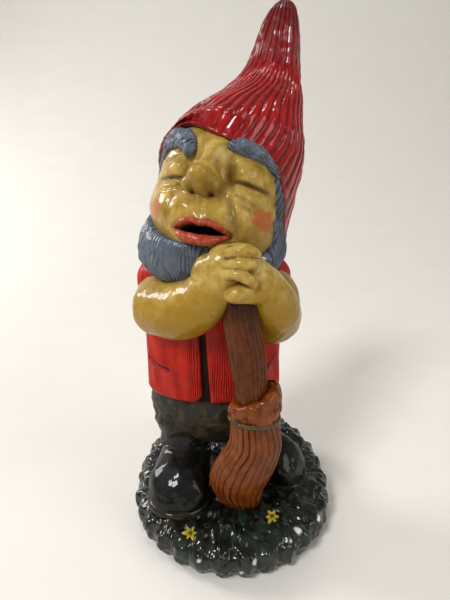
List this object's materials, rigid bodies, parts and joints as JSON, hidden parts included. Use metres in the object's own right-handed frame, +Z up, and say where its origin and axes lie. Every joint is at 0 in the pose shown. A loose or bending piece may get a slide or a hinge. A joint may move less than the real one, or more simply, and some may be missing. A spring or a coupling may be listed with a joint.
{
  "type": "garden gnome",
  "caption": "Garden gnome in a knitted pointed hat and waistcoat, resting on its clasped hands on a broom, on a round grass mound with a flat underside.",
  "frame": {"origin": "middle of the mound's flat underside, on the surface that the figure stands on", "axes": "+Z up through the figure, -Y the way the figure faces, +X to the figure's left"},
  "size_m": [0.1264, 0.1366, 0.3],
  "materials": {
    "grass_paint": "varnished dark green paint on plaster, chipped white at the edge",
    "sole_paint": "varnished olive-brown paint on plaster",
    "boot_paint": "varnished black paint on plaster",
    "trouser_paint": "satin black-brown paint on plaster",
    "shirt_paint": "dull dark olive paint on plaster",
    "waistcoat_paint": "satin orange-red paint on grooved plaster",
    "skin_paint": "varnished flesh paint on plaster, yellowed",
    "handle_paint": "satin dark brown paint on grained plaster",
    "brush_paint": "varnished orange-brown paint on grooved plaster",
    "binding_paint": "varnished olive-brown paint on plaster",
    "lip_paint": "varnished red paint on plaster",
    "hair_paint": "varnished blue-grey paint on grooved plaster",
    "hat_paint": "varnished deep red paint on ribbed plaster",
    "flower_paint": "varnished yellow paint on plaster"
  },
  "bodies": {
    "root": {"grass_mound": "grass_paint", "right_sole": "sole_paint", "right_boot": "boot_paint", "left_sole": "sole_paint", "left_boot": "boot_paint", "trousers": "trouser_paint", "shirt": "shirt_paint", "waistcoat_back": "waistcoat_paint", "waistcoat_right_front": "waistcoat_paint", "waistcoat_left_front": "waistcoat_paint", "right_arm": "skin_paint", "left_arm": "skin_paint", "right_hand": "skin_paint", "left_hand": "skin_paint", "broom_handle": "handle_paint", "broom_collar": "brush_paint", "broom_binding": "binding_paint", "broom_brush": "brush_paint", "head": "skin_paint", "nose": "skin_paint", "upper_lip": "lip_paint", "lower_lip": "lip_paint", "right_eyebrow": "hair_paint", "left_eyebrow": "hair_paint", "beard": "hair_paint", "back_hair": "hair_paint", "hat": "hat_paint", "hat_brim": "hat_paint", "flowers": "flower_paint"}
  },
  "joints": []
}
